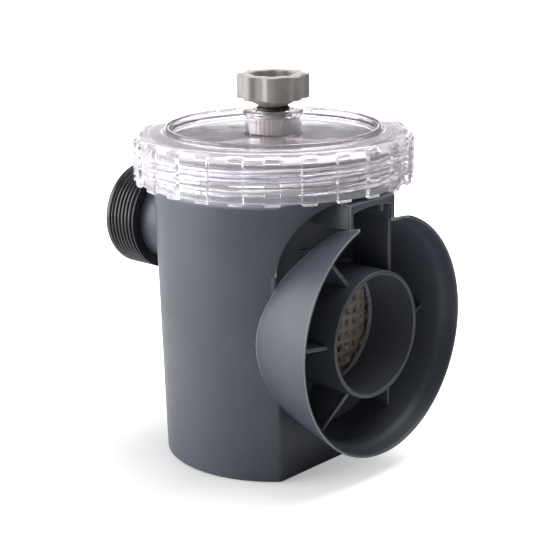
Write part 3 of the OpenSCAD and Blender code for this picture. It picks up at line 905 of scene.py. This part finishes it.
def cover_shape():
    """The cover's closed profile from the air hole out to the flange and back."""
    corners = [[AIR_HOLE, PLATE_LOW], [58.3, PLATE_LOW], [58.6, FLANGE_LOW],
               [FLANGE_R, FLANGE_LOW], [FLANGE_R, FLANGE_LOW + 2.9],
               [RING_R, FLANGE_LOW + 2.9], [RING_R, COVER_TOP], [RING_R - 2.6, COVER_TOP],
               [RING_R - 3.2, PLATE_TOP], [AIR_HOLE, PLATE_TOP]]
    radii = [0.3, 0.6, 0.3, 0.7, 0.7, 0.4, 1.1, 1.1, 1.4, 0.3]
    return turned(fill_in(soften(corners, radii, 7), 6.0), 240)


def seat_shape():
    """The valve's seat: a clear tube with a ring at its mouth that holds the bushing."""
    corners = [[SEAT_BORE + 0.02, PLATE_TOP], [SEAT_R + 1.0, PLATE_TOP],
               [SEAT_R, PLATE_TOP + 1.4], [SEAT_R, SEAT_TOP - 2.6],
               [SEAT_FLANGE, SEAT_TOP - 2.0], [SEAT_FLANGE, SEAT_TOP],
               [SEAT_MOUTH, SEAT_TOP], [SEAT_MOUTH, BUSHING_TOP + 0.05],
               [SEAT_BORE + 0.02, BUSHING_TOP + 0.05]]
    radii = [0.1, 0.2, 1.0, 0.5, 0.5, 0.7, 1.0, 0.6, 0.3]
    return turned(fill_in(soften(corners, radii), 1.2), 128)


def air_tube_shape():
    """The short tube that hangs under the plate."""
    bottom = low("valve_seat")[2]
    corners = [[AIR_TUBE_BORE, bottom], [AIR_TUBE_R, bottom], [AIR_TUBE_R, PLATE_LOW],
               [AIR_TUBE_BORE, PLATE_LOW]]
    return turned(soften(corners, 0.35), 96)


def gasket_shape():
    """L section: flat on the neck's rim, with a lip down inside the neck."""
    inner_r, lip_r, outer_r = 59.3, 61.1, radius_of("cover_gasket")
    corners = [[inner_r, FLANGE_LOW], [inner_r, NECK_TOP - GASKET_LIP],
               [lip_r, NECK_TOP - GASKET_LIP], [lip_r, NECK_TOP], [outer_r, NECK_TOP],
               [outer_r, FLANGE_LOW]]
    return turned(soften(corners, 0.5), 200)


add_piece("cover", cover_shape(), "cover", ["cover_plate"], clear)
add_piece("seat", join(seat_shape(), air_tube_shape()), "cover", ["valve_seat"], clear)
add_piece("gasket", gasket_shape(), "cover", ["cover_gasket"], rubber)

# %% [markdown]
# ## The collar
# The collar is one clear moulding, so its wall, ribs and inner thread are one surface here.
# Twenty-five grip ribs repeat round it: each is a raised panel with steep sides. They fade
# out into the rounded shoulder and reach a little below the wall's lower edge.

# %% Collar
RIBS = 25
RIB_HALF = math.radians(3.1)
RIB_PHASE = math.radians(9.2)
COLLAR_WALL, COLLAR_IN, COLLAR_MOUTH = 74.0, 72.2, 60.0
COLLAR_RIDGE = 70.2
PERIOD = 2 * math.pi / RIBS


def collar_columns():
    """Directions round the collar, packed where each rib's sides are."""
    side = RIB_HALF
    one = np.array([-side * 1.12, -side * 1.04, -side * 0.98, -side * 0.90, -side * 0.45, 0.0,
                    side * 0.45, side * 0.90, side * 0.98, side * 1.04, side * 1.12,
                    side * 1.5, side * 2.3, side * 3.1])
    return (RIB_PHASE + np.arange(RIBS)[:, None] * PERIOD + one[None, :]).ravel()


def rib(angle):
    """1 on a grip rib, 0 between ribs, with steep sides."""
    off = np.abs((angle - RIB_PHASE + PERIOD / 2) % PERIOD - PERIOD / 2)
    return 1 - ramp(off, RIB_HALF * 0.92, RIB_HALF * 1.08)


def collar_shape():
    """The collar's closed profile, with ribs outside and a thread inside."""
    shelf = COLLAR_TOP - 3.0
    corners = [[COLLAR_MOUTH, shelf], [COLLAR_IN - 3, shelf], [COLLAR_IN, shelf - 3],
               [COLLAR_IN, COLLAR_LOW], [COLLAR_WALL, COLLAR_LOW], [COLLAR_WALL, COLLAR_TOP],
               [COLLAR_MOUTH, COLLAR_TOP]]
    profile = fill_in(soften(corners, [0.5, 1.2, 1.2, 0.4, 0.5, 3.0, 0.8], 8), 0.8)

    def shape(r, d, a):
        outside = ramp(r, COLLAR_WALL - 1.0, COLLAR_WALL - 0.1)
        fade = 1 - ramp(d, COLLAR_TOP - 5.0, COLLAR_TOP - 1.2)
        height = COLLAR_R - COLLAR_WALL - 0.02
        ribbed = r + outside * fade * rib(a) * height
        bottom = 1 - ramp(d, COLLAR_LOW, COLLAR_LOW + 2.5)
        dropped = d - bottom * outside * rib(a) * RIB_DROP
        inside = np.abs(r - COLLAR_IN) < 0.02
        wind = thread_ridge(d, a, PITCH, COLLAR_LOW + 1.5, shelf - 3.5, 0.5, 4.4)
        return ribbed - np.where(inside, wind * (COLLAR_IN - COLLAR_RIDGE), 0), dropped

    return turned(profile, collar_columns(), shape=shape)


add_piece("collar", collar_shape(), "collar",
          ["collar_ring", "collar_ribs", "collar_thread"], milky)

# %% [markdown]
# ## The air valve
# The knob is a lobed cup: the same wave in its radius runs round its outside and, smaller,
# round its hollow. Its stem screws down through a grey bushing, which the clear seat holds
# and magnifies, and a black O-ring closes the seat's mouth.

# %% Valve
LOBES = 8
LOBE_PHASE = math.radians(-50)
STEM_R, STEM_THREAD_R, WASHER = 6.5, radius_of("valve_stem"), 1.4
STEM_TOP = high("valve_stem")[2]
STEM_SEAL = 1.2
STEM_SEAL_Z = (low("valve_o_ring")[2] + high("valve_o_ring")[2]) / 2


def lobe(angle, steepness):
    """A wave from 0 to 1 with flat crests: eight lobes round the knob."""
    wave = np.tanh(steepness * np.cos(LOBES * (angle - LOBE_PHASE))) / np.tanh(steepness)
    return 0.5 + 0.5 * wave


def knob_shape():
    """The knob's profile; each corner has a share of the outer and of the inner lobes."""
    valley, hollow, floor = 17.4, 11.2, KNOB_TOP - 11
    corners = [[0, STEM_TOP], [7.3, STEM_TOP + 0.05], [12.0, KNOB_LOW], [13.6, KNOB_LOW + 1.3],
               [valley, KNOB_LOW + 1.9], [valley, KNOB_TOP], [hollow, KNOB_TOP],
               [hollow, floor], [0, floor]]
    profile = fill_in(soften(corners, [0.1, 0.5, 0.8, 0.5, 0.9, 0.9, 0.8, 1.0, 0.1], 6), 1.4)

    def shape(r, d, a):
        outer = ramp(r, valley - 2.2, valley - 0.7)
        inner = ramp(r, 2.0, hollow - 1) * (1 - ramp(r, hollow + 0.2, hollow + 3))
        inner = inner * ramp(d, floor - 0.1, floor + 1.5)
        swell = outer * (KNOB_R - 0.05 - valley) * lobe(a, 1.9)
        return r + swell + inner * 1.5 * lobe(a, 1.3), d

    return turned(profile, 256, shape=shape)


def stem_shape():
    """The stem, with its thread raised where it runs in the bushing."""
    foot = PLATE_TOP + WASHER
    corners = [[0, foot], [STEM_R, foot], [STEM_R, STEM_TOP + 0.2], [0, STEM_TOP + 0.2]]
    profile = fill_in(soften(corners, [0.1, 0.4, 0.1, 0.1]), 0.35)

    def shape(r, d, a):
        rise = thread_ridge(d, a, 2.5, foot + 0.6, BUSHING_TOP, 0.6, 1.8)
        return r + np.where(r > STEM_R - 0.05, rise * (STEM_THREAD_R - STEM_R - 0.02), 0), d

    return turned(profile, 96, shape=shape)


def bushing_shape():
    """The bushing: a thick ring with fine flutes outside, which hold it in the seat."""
    bore = STEM_THREAD_R + 0.25
    corners = [[bore, PLATE_TOP], [SEAT_BORE, PLATE_TOP], [SEAT_BORE, BUSHING_TOP],
               [bore, BUSHING_TOP]]
    profile = fill_in(soften(corners, 0.5), 0.8)

    def shape(r, d, a):
        flute = 0.5 - 0.5 * np.cos(36 * a)
        return r - ramp(r, SEAT_BORE - 0.5, SEAT_BORE) * 0.25 * flute, d

    return turned(profile, 288, shape=shape)


def washer_shape():
    """The flat washer under the stem."""
    inner = 4.6
    corners = [[inner, PLATE_TOP], [STEM_R, PLATE_TOP], [STEM_R, PLATE_TOP + WASHER],
               [inner, PLATE_TOP + WASHER]]
    return turned(soften(corners, 0.3), 96)


add_piece("knob", knob_shape(), "valve", ["valve_knob"], warm_grey)
add_piece("stem", stem_shape(), "valve", ["valve_stem"], warm_grey)
add_piece("bushing", bushing_shape(), "cover", ["valve_bushing"], warm_grey)
add_piece("stem_seal", ring_shape(STEM_R + STEM_SEAL, STEM_SEAL, STEM_SEAL_Z), "valve_seals",
          ["valve_o_ring"], rubber)
add_piece("stem_washer", washer_shape(), "valve_seals", ["valve_washer"], rubber)

# %% [markdown]
# ## The basket
# The basket's outline is round with one flat side and soft corners. Its wall is a grid of
# cells along the outline and up the height; the cells that would be holes are left out, and
# the Solidify modifier gives the rest its thickness. A round opening lets the inlet in.

# %% Basket outline
BASKET_CORNER = 25.0
BASKET_T = 1.8


def basket_radius(angle, inset=0.0):
    """Distance from the axis to the basket's outline in a direction.

    The smaller of three curves: the round side, the flat side, and the two corner arcs.
    """
    c = BASKET_CORNER - inset
    xc = BASKET_FLAT - BASKET_CORNER
    yc = math.sqrt((BASKET_R - BASKET_CORNER) ** 2 - xc**2)
    cos, sin = np.cos(angle), np.abs(np.sin(angle))
    along = xc * cos + yc * sin
    corner = along + np.sqrt(np.maximum(along**2 - xc**2 - yc**2 + c**2, 0))
    flat = (BASKET_FLAT - inset) / np.maximum(cos, 0.02)
    flat_end = math.atan2(yc, BASKET_FLAT - inset)
    round_start = math.atan2(yc, xc)
    turn = np.abs((angle + np.pi) % (2 * np.pi) - np.pi)
    return np.where(turn < flat_end, flat, np.where(turn < round_start, corner,
                                                    BASKET_R - inset))


def even_directions(count):
    """Directions that are evenly spaced along the basket's outline."""
    a = np.linspace(-np.pi, np.pi, 4001)
    r = basket_radius(a)
    x, y = r * np.cos(a), r * np.sin(a)
    length = np.concatenate([[0], np.cumsum(np.hypot(np.diff(x), np.diff(y)))])
    return np.interp(np.linspace(0, length[-1], count, endpoint=False), length, a)


# %% Basket wall and floor
COLUMNS, ROWS = 50, 22
HOLE_SHARE = 0.60
BAND_RELIEF = 0.8


def cell_lines(count, share, between):
    """Grid lines for count cells: each has a bar, then a hole that is share of the cell."""
    one = np.concatenate([np.linspace(0, 1 - share, between, endpoint=False),
                          np.linspace(1 - share, 1, between, endpoint=False)])
    return (np.arange(count)[:, None] + one[None, :]).ravel() / count, 2 * between


def basket_wall():
    """Wall cells between the grid lines, without the cells that are holes."""
    u, per_u = cell_lines(COLUMNS, HOLE_SHARE, 2)
    v, per_v = cell_lines(ROWS, HOLE_SHARE, 2)
    v = np.append(v, [1.0, 1.0 + 3.0 / (BASKET_TOP - BASKET_LOW)])
    v = v / v[-1]
    fine = even_directions(2000)
    angle = np.interp(u, np.linspace(0, 1, 2000, endpoint=False), fine)
    z = BASKET_LOW + v * (BASKET_TOP - BASKET_LOW)
    a, height = np.meshgrid(angle, z)
    line = np.arange(len(z))[:, None]
    between = ((line % per_v >= 2) | (line % per_v == 0)) & (line < ROWS * per_v) & (line > 3)
    r = basket_radius(a) - BAND_RELIEF * between
    points = np.stack([r * np.cos(a), r * np.sin(a), height], -1).reshape(-1, 3)
    cells = quads(len(z), len(angle), wrap_rows=False)
    row, col = np.divmod(np.arange(len(cells)), len(angle))
    hole = (row % per_v >= 2) & (col % per_u >= 2) & (row < ROWS * per_v) & (row > 3)
    centre = points[cells].mean(1)
    off = np.hypot(centre[:, 1], centre[:, 2] - INLET_Z)
    open_mouth = (centre[:, 0] < 0) & (off < SPOUT_R + 1.5)
    return points, cells[~(hole | open_mouth)]


def mouth_ring():
    """A raised ring round the inlet opening, following the basket's round wall."""
    t = np.linspace(0, 2 * np.pi, 96, endpoint=False)[None, :]
    s = np.linspace(0, 2 * np.pi, 12, endpoint=False)[:, None]
    reach = SPOUT_R + 2.6 + 2.6 * np.cos(s)
    y = reach * np.cos(t)
    z = INLET_Z + reach * np.sin(t)
    x = -np.sqrt((BASKET_R - BASKET_T / 2 + 1.1 * np.sin(s)) ** 2 - y**2)
    return np.stack([x, y, z], -1).reshape(-1, 3), quads(12, 96)


def basket_base():
    """The floor: square holes in rows, inside a plain border that follows the outline."""
    pitch = 8.0
    count = 14
    lines, per = cell_lines(count, HOLE_SHARE, 2)
    lines = (np.append(lines, 1.0) - 0.5) * count * pitch
    x, y = np.meshgrid(lines, lines)
    reach = np.hypot(x, y)
    limit = basket_radius(np.arctan2(y, x), BASKET_T) - 0.2
    scale = np.minimum(1.0, limit / np.maximum(reach, 1e-6))
    points = np.stack([x * scale, y * scale, np.full_like(x, BASKET_LOW + BASKET_T)], -1)
    cells = quads(len(lines), len(lines), False, False)
    row, col = np.divmod(np.arange(len(cells)), len(lines) - 1)
    hole = (row % per >= 2) & (col % per >= 2)
    near_edge = (reach / limit).ravel()[cells].max(1) > 0.93
    flat_points = points.reshape(-1, 3)
    a, b, c, d = (flat_points[cells[:, k]] for k in range(4))
    area = np.abs(np.cross(c - a, d - b)[:, 2])
    return flat_points, cells[(~hole | near_edge) & (area > 0.05)]


def thicken(thing, thickness, side):
    """Gives an open sheet its thickness. side -1 grows it inwards."""
    solid = thing.modifiers.new("wall", "SOLIDIFY")
    solid.thickness = thickness * MM
    solid.offset = side
    solid.use_even_offset = True
    settle(thing)


basket = add_piece("basket_grid", basket_wall(), "housing", ["basket_cup"], basket_tone)
thicken(basket, BASKET_T, -1)
add_piece("basket_mouth", mouth_ring(), "housing", [], basket_tone)
base = add_piece("basket_base", basket_base(), "housing", ["basket_floor"], basket_tone)
thicken(base, BASKET_T, -1)

# %% [markdown]
# The rim is a flat ring between the basket's outline and a full circle, so that it rests all
# round on the ledge in the neck. Two ears on it carry the bail, a half hoop that lies flat.

# %% Rim and bail
RIM_R = 60.9
RIM_TOP = BASKET_TOP + 2.5
BAIL_R, BAIL_ROD = 46.0, 1.8
BAIL_Z = RIM_TOP + 2.6


def rim_shape():
    """The rim's flat section, stretched between outline and circle in each direction."""
    angle = even_directions(220)
    inner = basket_radius(angle, BASKET_T)
    loop = soften([[0, 0], [1, 0], [1, 1], [0, 1]], [0.06] * 4, 4)
    share, up = loop[:, :1], loop[:, 1:]
    r = inner[None, :] + (RIM_R - inner[None, :]) * share
    z = BASKET_TOP + up * (RIM_TOP - BASKET_TOP) + 0 * r
    points = np.stack([r * np.cos(angle), r * np.sin(angle), z], -1)
    return points.reshape(-1, 3), quads(len(loop), len(angle))


def bail_shape():
    """A round rod bent along a half hoop, with straight pins out through the ears."""
    bend = np.linspace(np.pi / 2, 3 * np.pi / 2, 72)
    hoop = np.stack([BAIL_R * np.cos(bend), BAIL_R * np.sin(bend)], -1)
    end = BAIL_R + 5.6
    path = np.vstack([[[0, end]], [[0, end - 0.4]], [[0, BAIL_R + 1.5]], hoop[2:-2],
                      [[0, -BAIL_R - 1.5]], [[0, -end + 0.4]], [[0, -end]]])
    width = np.full(len(path), BAIL_ROD)
    width[[0, -1]] = 0.0
    step = np.gradient(path, axis=0)
    step /= np.linalg.norm(step, axis=1)[:, None]
    across = np.stack([-step[:, 1], step[:, 0]], -1)
    t = np.linspace(0, 2 * np.pi, 20, endpoint=False)
    side = width[:, None] * np.cos(t)
    points = np.stack([path[:, :1] + across[:, :1] * side, path[:, 1:] + across[:, 1:] * side,
                       BAIL_Z + width[:, None] * np.sin(t)], -1)
    return points.reshape(-1, 3), quads(len(path), 20, wrap_rows=False)


EAR_Y = BAIL_R + 4.2
ears = [block(-3.5, 3.5, s * EAR_Y - 1.25, s * EAR_Y + 1.25, RIM_TOP - 0.4, RIM_TOP + 5.2)
        for s in (-1, 1)]
pin_hole = turned([[0, -60], [BAIL_ROD + 0.05, -60], [BAIL_ROD + 0.05, 60], [0, 60]], 40, "x",
                  BAIL_Z)
pin_hole = (pin_hole[0][:, [1, 0, 2]] * [-1, 1, 1], pin_hole[1])
add_piece("basket_hoop", rim_shape(), "housing", ["basket_rim"], basket_tone)
add_piece("bail_ears", join(*ears), "housing", [], basket_tone,
          holes=[pin_hole], edge=0.5)
add_piece("bail_handle", bail_shape(), "bail", ["basket_bail"], basket_tone)

# %% [markdown]
# ## Floor, light and camera
# A plain white floor and an even white surround, with soft lights from above, from the left
# and from behind, give the pale studio look and the soft shadow under the pot. The back light
# is what the flat cover mirrors. The floor glows a little for the camera, more so away from
# the pot, and glossy parts see it dark on the far right, so that the recess stays dark. The
# camera stands 0.84 m from the pot's axis, between the outlet side and the front, and looks
# down by 15.6 degrees.

# %% Floor
floor_material, tree, output, shader, place = start_material("studio floor")
shader.inputs["Roughness"].default_value = 0.6
patches = noise(tree, place, 9.0, 3.0, 0.5)
tree.links.new(mix_colour(tree, patches, (0.88, 0.88, 0.88, 1), (0.91, 0.91, 0.91, 1)),
               shader.inputs["Base Color"])
# The floor's glow for the camera is painted light: weakest round a point 0.1 m to the left of the
# pot as the camera sees it and full further out, so it also shapes the soft shadow near the pot.
away = tree.nodes.new("ShaderNodeVectorMath")
away.operation = "DISTANCE"
away.inputs[1].default_value = (-0.075, -0.070, 0.0)
tree.links.new(place, away.inputs[0])
lit = tree.nodes.new("ShaderNodeEmission")
tree.links.new(remap(tree, away.outputs["Value"], 0.08, 0.26, 0.16, 0.95), lit.inputs["Strength"])
rays = tree.nodes.new("ShaderNodeLightPath")
seen = tree.nodes.new("ShaderNodeAddShader")
tree.links.new(shader.outputs[0], seen.inputs[0])
tree.links.new(lit.outputs[0], seen.inputs[1])
choose = tree.nodes.new("ShaderNodeMixShader")
tree.links.new(rays.outputs["Is Camera Ray"], choose.inputs["Fac"])
tree.links.new(shader.outputs[0], choose.inputs[1])
tree.links.new(seen.outputs[0], choose.inputs[2])
# Glossy rays that reach the floor behind the pot, on the right, see a dim glow instead of the lit
# floor: a painted dark reflection that keeps the recess dark.
dim = tree.nodes.new("ShaderNodeEmission")
dim.inputs["Strength"].default_value = 0.22
behind = tree.nodes.new("ShaderNodeVectorMath")
behind.operation = "DOT_PRODUCT"
behind.inputs[1].default_value = (0.707, 0.707, 0.0)
tree.links.new(place, behind.inputs[0])
both = tree.nodes.new("ShaderNodeMath")
both.operation = "MULTIPLY"
tree.links.new(remap(tree, behind.outputs["Value"], 0.05, 0.25, 0.0, 1.0), both.inputs[0])
tree.links.new(rays.outputs["Is Glossy Ray"], both.inputs[1])
mirrored = tree.nodes.new("ShaderNodeMixShader")
tree.links.new(both.outputs[0], mirrored.inputs["Fac"])
tree.links.new(choose.outputs[0], mirrored.inputs[1])
tree.links.new(dim.outputs[0], mirrored.inputs[2])
tree.links.new(mirrored.outputs[0], output.inputs["Surface"])
floor_points = np.array([[-4000, -4000, -0.05], [4000, -4000, -0.05], [4000, 4000, -0.05],
                         [-4000, 4000, -0.05]])
floor = new_object("floor", (floor_points, [[0, 1, 2, 3]]), merge=False)
floor.data.materials.append(floor_material)

# %% Lights
world = bpy.data.worlds.new("white surround")
bpy.context.scene.world = world
world.use_nodes = True
tree = world.node_tree
fill = tree.nodes["Background"]
fill.inputs["Color"].default_value = (1.0, 1.0, 1.0, 1)
fill.inputs["Strength"].default_value = 0.18
white = tree.nodes.new("ShaderNodeBackground")
white.inputs["Color"].default_value = (1.0, 1.0, 1.0, 1)
rays = tree.nodes.new("ShaderNodeLightPath")
through = tree.nodes.new("ShaderNodeMath")
through.operation = "MULTIPLY"
through.inputs[1].default_value = 0.7
tree.links.new(rays.outputs["Is Transmission Ray"], through.inputs[0])
either = tree.nodes.new("ShaderNodeMath")
either.operation = "MAXIMUM"
tree.links.new(rays.outputs["Is Camera Ray"], either.inputs[0])
tree.links.new(through.outputs[0], either.inputs[1])
choose = tree.nodes.new("ShaderNodeMixShader")
tree.links.new(either.outputs[0], choose.inputs["Fac"])
tree.links.new(fill.outputs[0], choose.inputs[1])
tree.links.new(white.outputs[0], choose.inputs[2])
tree.links.new(choose.outputs[0], tree.nodes["World Output"].inputs["Surface"])


def soft_light(name, azimuth, elevation, distance, width, height, power):
    """A flat soft light aimed at a point in the pot, from a direction in degrees."""
    a, e = math.radians(azimuth), math.radians(elevation)
    towards = np.array([math.cos(a) * math.cos(e), math.sin(a) * math.cos(e), math.sin(e)])
    data = bpy.data.lights.new(name, "AREA")
    data.shape = "RECTANGLE"
    data.size = width
    data.size_y = height
    data.energy = power
    lamp = bpy.data.objects.new(name, data)
    bpy.context.scene.collection.objects.link(lamp)
    z = towards
    x = np.cross([0, 0, 1.0], z)
    x = x / np.linalg.norm(x) if np.linalg.norm(x) > 1e-3 else np.array([1.0, 0, 0])
    y = np.cross(z, x)
    turn = Matrix([[x[i], y[i], z[i], towards[i] * distance] for i in range(3)] + [[0, 0, 0, 1]])
    turn.translation.z += 0.1
    lamp.matrix_world = turn


soft_light("top box", 100, 72, 1.5, 1.5, 1.5, 33)
soft_light("left box", -132, 14, 1.4, 1.5, 1.1, 26)
soft_light("back box", 132, 4.5, 1.7, 1.8, 0.484, 4.6)

# %% Camera
CAMERA_AZIMUTH = 47.79
CAMERA_DISTANCE = 0.8392
CAMERA_HEIGHT = 0.33224
CAMERA_DOWN = 15.61
CAMERA_ROLL = -0.638
camera_data = bpy.data.cameras.new("camera")
camera_data.sensor_width = 36.0
camera_data.lens = 102.86
camera = bpy.data.objects.new("camera", camera_data)
bpy.context.scene.collection.objects.link(camera)
a, e = math.radians(CAMERA_AZIMUTH), math.radians(CAMERA_DOWN)
looks = np.array([-math.cos(a) * math.cos(e), math.sin(a) * math.cos(e), -math.sin(e)])
right = np.cross(looks, [0, 0, 1.0])
right /= np.linalg.norm(right)
up = np.cross(right, looks)
roll = math.radians(CAMERA_ROLL)
right, up = (right * math.cos(roll) + up * math.sin(roll),
             up * math.cos(roll) - right * math.sin(roll))
where = [CAMERA_DISTANCE * math.cos(a), -CAMERA_DISTANCE * math.sin(a), CAMERA_HEIGHT]
camera.matrix_world = Matrix([[right[i], up[i], -looks[i], where[i]] for i in range(3)]
                             + [[0, 0, 0, 1]])
bpy.context.scene.camera = camera
bpy.context.scene.view_settings.view_transform = "Standard"
print("camera at", [round(v, 3) for v in where])
